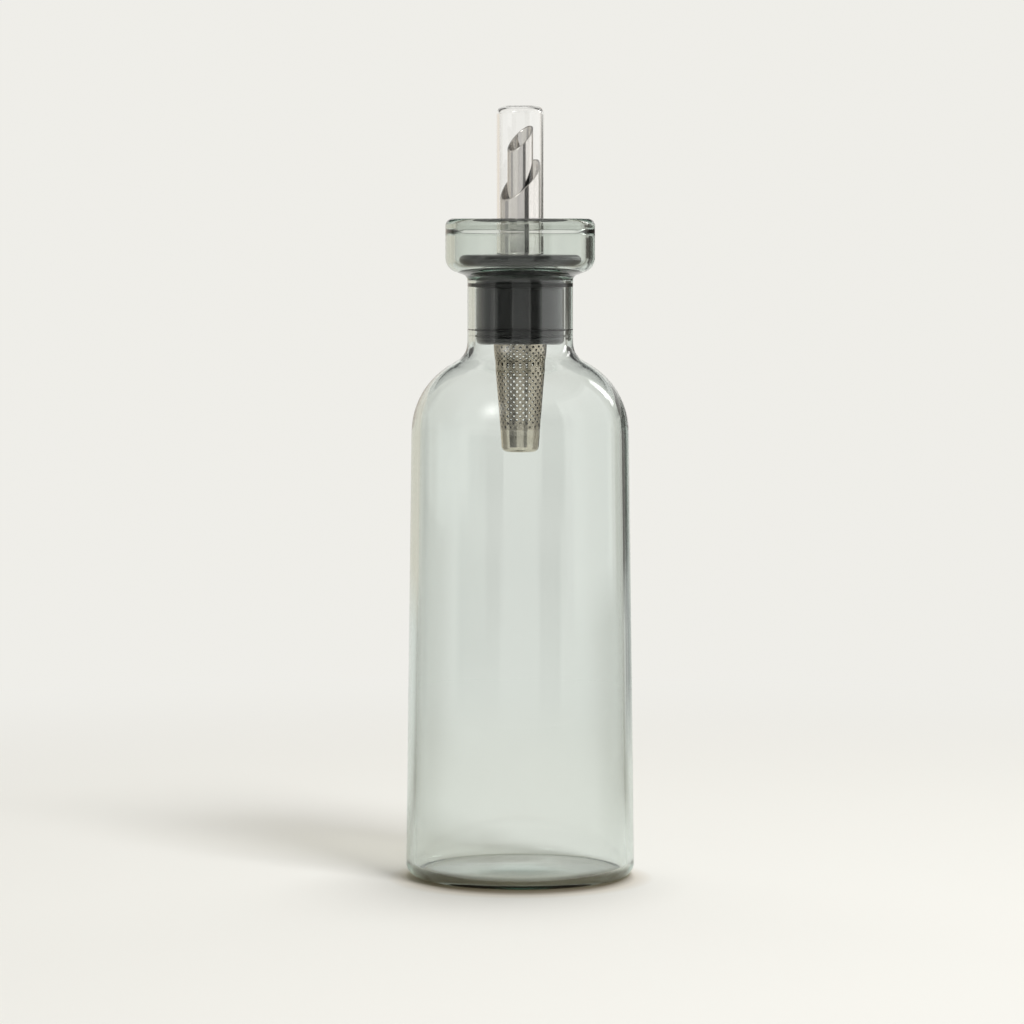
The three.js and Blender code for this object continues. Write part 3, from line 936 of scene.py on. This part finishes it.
def build_pieces():
    materials = make_materials()

    def add(node, mesh_data, body, slot, material=None):
        make_piece(node, mesh_data, materials[material or slot], body)

    def closed(outline):
        return turned(outline, closed=True)

    outer_tube = slant_tube(OUTER_TUBE_R, OUTER_TUBE_LOW.z, OUTER_TUBE_HIGH.z)
    inner_tube = slant_tube(INNER_TUBE_R, INNER_TUBE_LOW.z, INNER_TUBE_HIGH.z)
    add("bottle", turned(bottle_outline(), segments=BOTTLE_SEGMENTS), "bottle", "smoked_glass")
    add("stopper_body", closed(stopper_outline()), "stopper", "black_plastic")
    add("stopper_core", closed(core_outline()), "stopper", "black_plastic")
    add("upper_seal_ring", closed(upper_seal_outline()), "seals", "black_silicone")
    add("lower_seal_ring", closed(lower_seal_outline()), "seals", "black_silicone")
    add("basket_grip_ring", closed(grip_outline()), "stopper", "black_silicone")
    add("spout_outer_tube", outer_tube, "stopper", "spout_steel")
    add("spout_inner_tube", inner_tube, "stopper", "spout_steel")
    add("basket_collar", closed(collar_outline()), "basket", "basket_steel")
    add("basket_cone", cone_mesh(), "basket", "basket_steel")
    add("basket_end_cup", turned(end_cup_outline()), "basket", "basket_steel", "end_steel")
    add("cap", turned(cap_outline()), "cap", "clear_cap")


# Camera


def photo_axes():
    """Level directions in the photograph's view: to its right, and away from the camera."""
    away = Vector((-math.sin(CAMERA_AZIMUTH), math.cos(CAMERA_AZIMUTH), 0))
    return away.cross(Vector((0, 0, 1))), away


def in_view(right, away, up):
    """A point given to the right of the bottle, away from the camera, and up."""
    right_axis, away_axis = photo_axes()
    return right * right_axis + away * away_axis + Vector((0, 0, up))


def aimed(direction):
    """The rotation of a camera, lamp or screen that faces along a direction."""
    return direction.to_track_quat("-Z", "Y").to_euler()


def add_camera():
    camera = link(bpy.data.objects.new("camera", bpy.data.cameras.new("camera")))
    camera.data.sensor_width = SENSOR
    camera.data.lens = SENSOR * FOCAL_PX / FRAME_PX
    camera.data.clip_start, camera.data.clip_end = CAMERA_CLIP
    camera.location = in_view(-CAMERA_ASIDE, -CAMERA_DISTANCE, CAMERA_HEIGHT)
    camera.rotation_euler = aimed(in_view(0, math.cos(CAMERA_PITCH), -math.sin(CAMERA_PITCH)))
    bpy.context.scene.camera = camera


# Floor and wall


def in_mirror(nodes, links):
    """1 in a mirror image, on metal or in glass, and 0 in direct or straight sight through glass."""
    depth = nodes.new("ShaderNodeLightPath").outputs["Glossy Depth"]
    return calculate(nodes, links, "GREATER_THAN", depth, ANY)


def side_colour(nodes, links, place, sides, weight=None):
    """The page's colour, or in mirror images the sides' colour to the left and right, a little behind."""
    level = vector_math(nodes, links, "MULTIPLY", place, LEVEL)
    course = vector_math(nodes, links, "NORMALIZE", level)
    nearness = []
    for turn in (SIDE_TURN, -SIDE_TURN):
        side = in_view(math.sin(turn), -math.cos(turn), 0)
        nearness.append(vector_math(nodes, links, "DOT_PRODUCT", course, side))
    nearest = calculate(nodes, links, "MAXIMUM", *nearness)
    dark = map_range(nodes, links, nearest, math.cos(SIDE_REACH), math.cos(SIDE_CORE), smooth=True)
    dark = calculate(nodes, links, "MULTIPLY", dark, in_mirror(nodes, links))
    if weight is not None:
        dark = calculate(nodes, links, "MULTIPLY", dark, weight)
    return colour_stops(nodes, links, dark, [(0, PAGE), (1, sides)])


def contact_shade(nodes, links, place):
    """The dark warm shade where the foot stands on the paper, reaching a little further in front."""
    distance = vector_math(nodes, links, "DISTANCE", place, in_view(0, -CONTACT_FORWARD, 0))
    share = calculate(nodes, links, "DIVIDE", distance, CONTACT_SIZE)
    stops = [(reach / CONTACT_SIZE, shade) for reach, shade in CONTACT_STOPS]
    return colour_stops(nodes, links, share, stops)


def paper_material():
    """Pale paper, lit by the lamps round the object and evenly bright further out."""
    material, nodes, links = new_material("backdrop_paper")
    shader = nodes["Principled BSDF"]
    shader.inputs["Roughness"].default_value = PAPER_ROUGHNESS
    shader.inputs["Specular IOR Level"].default_value = PAPER_GLOSS
    place = object_place(nodes)
    distance = vector_math(nodes, links, "LENGTH", place)
    beside = map_range(nodes, links, distance, SIDE_START, SIDE_FULL, smooth=True)
    paper = side_colour(nodes, links, place, FLOOR_SIDES, beside)
    shaded = mix_colours(nodes, links, 1, paper, contact_shade(nodes, links, place), "MULTIPLY")
    links.new(shaded, shader.inputs["Base Color"])
    even = nodes.new("ShaderNodeEmission")
    links.new(paper, even.inputs["Color"])
    further = map_range(nodes, links, distance, LIT_FLOOR, EVEN_FLOOR, smooth=True)
    surface = mix_shaders(nodes, links, further, shader.outputs["BSDF"], even.outputs["Emission"])
    links.new(surface, nodes["Material Output"].inputs["Surface"])
    return material


def add_backdrop():
    """A seamless sweep: a pale floor that takes the shadows, and curves up into an evenly lit wall."""
    sweep = arc(BACK - SWEEP_R, FLOOR_Z + SWEEP_R, SWEEP_R, DOWN, RIGHT, SWEEP_STEPS)
    profile = [(FRONT, FLOOR_Z), *sweep, (BACK, WALL_TOP)]
    vertices = [in_view(side, away, up) for away, up in profile for side in (-HALF_WIDTH, HALF_WIDTH)]
    faces = [(2 * i, 2 * i + 1, 2 * i + 3, 2 * i + 2) for i in range(len(profile) - 1)]
    mesh = bpy.data.meshes.new("backdrop")
    mesh.from_pydata(vertices, [], faces)
    for polygon in mesh.polygons:
        polygon.use_smooth = True
    mesh.materials.append(paper_material())
    link(bpy.data.objects.new("backdrop", mesh))


def add_world():
    """Even light on matt surfaces. Mirrors and glass see a pale horizon under a darker ceiling."""
    world = bpy.data.worlds.new("studio")
    bpy.context.scene.world = world
    world.use_nodes = True
    world.cycles.sampling_method = "NONE"
    nodes, links = world.node_tree.nodes, world.node_tree.links
    even = nodes["Background"]
    even.inputs["Color"].default_value = EVEN_LIGHT
    even.inputs["Strength"].default_value = EVEN_STRENGTH
    page = nodes.new("ShaderNodeBackground")
    page.inputs["Color"].default_value = (*PAGE, 1)
    room = nodes.new("ShaderNodeBackground")
    course = nodes.new("ShaderNodeTexCoord").outputs["Generated"]
    links.new(side_colour(nodes, links, course, ROOM_SIDES), room.inputs["Color"])
    height = height_of(nodes, links, course)
    strength = map_range(nodes, links, height, CEILING_START, CEILING_FULL, 1, CEILING_STRENGTH)
    links.new(strength, room.inputs["Strength"])
    path = nodes.new("ShaderNodeLightPath").outputs
    seen = mix_shaders(
        nodes, links, path["Is Camera Ray"], room.outputs["Background"], page.outputs["Background"]
    )
    on_matt = calculate(nodes, links, "GREATER_THAN", path["Diffuse Depth"], ANY)
    lit = mix_shaders(nodes, links, on_matt, seen, even.outputs["Background"])
    links.new(lit, nodes["World Output"].inputs["Surface"])


# Lamps and screens


def add_lamp(name, place, size, power):
    """A square lamp that lights and casts shadows, without a mirror image."""
    lamp = bpy.data.lights.new(name, "AREA")
    lamp.shape = "RECTANGLE"
    lamp.size = size
    lamp.size_y = size
    lamp.energy = power
    holder = link(bpy.data.objects.new(name, lamp))
    holder.location = place
    holder.rotation_euler = aimed(MIDDLE - place)
    holder.visible_glossy = False
    holder.visible_transmission = False


def show_in_mirrors(panel, material, weight, strength, colour):
    """Makes a screen that glows by a weight, out of direct sight and of the light on matt surfaces."""
    nodes, links = material.node_tree.nodes, material.node_tree.links
    glow = nodes.new("ShaderNodeEmission")
    glow.inputs["Color"].default_value = colour
    glow.inputs["Strength"].default_value = strength
    clear = nodes.new("ShaderNodeBsdfTransparent")
    factor = calculate(nodes, links, "MULTIPLY", weight, in_mirror(nodes, links))
    surface = mix_shaders(nodes, links, factor, clear.outputs["BSDF"], glow.outputs["Emission"])
    links.new(surface, nodes["Material Output"].inputs["Surface"])
    panel.data.materials.append(material)
    material.cycles.emission_sampling = "NONE"
    panel.visible_camera = False
    panel.visible_diffuse = False
    panel.visible_shadow = False


def add_panel(name, turns, heights, distance, strength, top_edge=PANEL_EDGE, colour=WHITE_SCREEN):
    """A curved screen round the bottle with soft edges, which shows only in mirror images.

    Its two turns are in degrees from the camera's side of the bottle, to the right. Its two heights and its
    distance from the bottle's axis are in metres.
    """
    (start, end), (low, high) = turns, heights
    inner_start, inner_end = start + PANEL_EDGE_TURN, end - PANEL_EDGE_TURN
    inner = [inner_start + (inner_end - inner_start) * i / PANEL_STEPS for i in range(PANEL_STEPS + 1)]
    columns = [start, *inner, end]
    levels = [low, low + PANEL_EDGE, high - top_edge, high]
    vertices, weights = [], []
    for turn in columns:
        angle = math.radians(turn)
        for level in levels:
            vertices.append(in_view(distance * math.sin(angle), -distance * math.cos(angle), level))
            weights.append(0 if turn in (start, end) or level in (low, high) else 1)
    count = len(levels)
    firsts = [column * count + row for column in range(len(columns) - 1) for row in range(count - 1)]
    mesh = bpy.data.meshes.new(name)
    mesh.from_pydata(vertices, [], [(i, i + 1, i + count + 1, i + count) for i in firsts])
    mesh.attributes.new("weight", "FLOAT", "POINT").data.foreach_set("value", weights)
    panel = link(bpy.data.objects.new(name, mesh))
    material, nodes, _ = new_material(name)
    weight = nodes.new("ShaderNodeAttribute")
    weight.attribute_name = "weight"
    show_in_mirrors(panel, material, weight.outputs["Fac"], strength, colour)


def add_glow(name, place, radius, strength):
    """A round soft light that fades to nothing at its edge, which shows only in mirror images."""
    mesh = bpy.data.meshes.new(name)
    mesh.from_pydata([(-1, -1, 0), (1, -1, 0), (1, 1, 0), (-1, 1, 0)], [], [(0, 1, 2, 3)])
    panel = link(bpy.data.objects.new(name, mesh))
    panel.location = place
    panel.rotation_euler = aimed(MIDDLE - place)
    panel.scale = (radius, radius, radius)
    material, nodes, links = new_material(name)
    fade = nodes.new("ShaderNodeTexGradient")
    fade.gradient_type = "QUADRATIC_SPHERE"
    links.new(object_place(nodes), fade.inputs["Vector"])
    show_in_mirrors(panel, material, fade.outputs["Fac"], strength, WHITE_SCREEN)


def add_front_screens():
    """Screens on the camera's side of the bottle."""
    add_panel("front_grey", (-17, 21), (0.1, 0.2), distance=1.7, strength=0.37, top_edge=0.01)
    add_panel("front_pale", (-17, 21), (0.165, 1), distance=1.75, strength=0.75)
    add_panel("front_low", (-23, 22), (0.01, 0.115), distance=0.48, strength=0.6)


def add_right_screens():
    """Screens to the right: dark ones for the bands on the plug, tubes and basket, and a white one."""
    add_panel("right_flag", (22, 48), (0.065, 0.215), distance=1.0, strength=0.02, top_edge=0.01)
    add_panel("right_high", (22, 48), (0.16, 1), distance=1.02, strength=0.13)
    add_panel("right_white", (48, 118), (0, 1.2), distance=1.1, strength=1.3)
    add_panel("right_low", (19, 42), (0.01, 0.115), distance=0.45, strength=0.06)


def add_left_screens():
    """Screens to the left: dark ones for the bands on the plug and the basket, a warm one and a soft glow."""
    add_panel("left_flag", (-57, -17), (0.065, 0.2), distance=1.0, strength=0.03, top_edge=0.01)
    add_panel("left_low", (-68, -20), (0.01, 0.115), distance=0.45, strength=0.06)
    add_panel("left_grey", (-93, -67), (0.1, 0.36), distance=1.0, strength=0.45)
    add_panel("left_back", (-168, -138), (0.49, 1.4), distance=1.2, strength=0.1)
    add_panel("left_warm", (-170, -130), (0, 0.31), distance=0.9, strength=0.8, colour=WARM_SCREEN)
    add_glow("left_glow", in_view(-0.55, -0.8, 0.75), radius=0.4, strength=7)


def add_back_screens():
    """Screens behind the bottle, to its right, for the edges of its glass."""
    add_panel("back_low", (141, 161), (0, 0.1), distance=0.3, strength=0.4)
    add_panel("right_softbox", (126.5, 136.5), (0.47, 0.98), distance=1.2, strength=5)
    add_panel("back_flag", (141, 161), (0, 0.29), distance=0.95, strength=0.06, colour=WARM_SCREEN)
    add_panel("neck_flag", (128, 165), (0.135, 0.245), distance=0.9, strength=0.085, colour=WARM_SCREEN)
    add_panel("back_strip", (142, 164), (0.36, 0.46), distance=1.2, strength=0.9)
    add_panel("back_high", (138, 172), (0.46, 1.4), distance=1.2, strength=0.1)


def add_light():
    add_lamp("key", in_view(0.6, -0.8, 1.35), size=0.5, power=15)
    add_lamp("top", in_view(0.12, 0.32, 1.8), size=0.6, power=12)
    add_world()
    add_front_screens()
    add_right_screens()
    add_left_screens()
    add_back_screens()


# Scene


def set_rendering():
    """Plain colours, and enough bounces for light through several walls of glass."""
    bpy.context.scene.view_settings.view_transform = "Standard"
    bpy.context.scene.cycles.max_bounces = MAX_BOUNCES
    bpy.context.scene.cycles.glossy_bounces = GLOSSY_BOUNCES
    bpy.context.scene.cycles.transmission_bounces = MAX_BOUNCES


set_rendering()
add_camera()
build_pieces()
add_backdrop()
add_light()
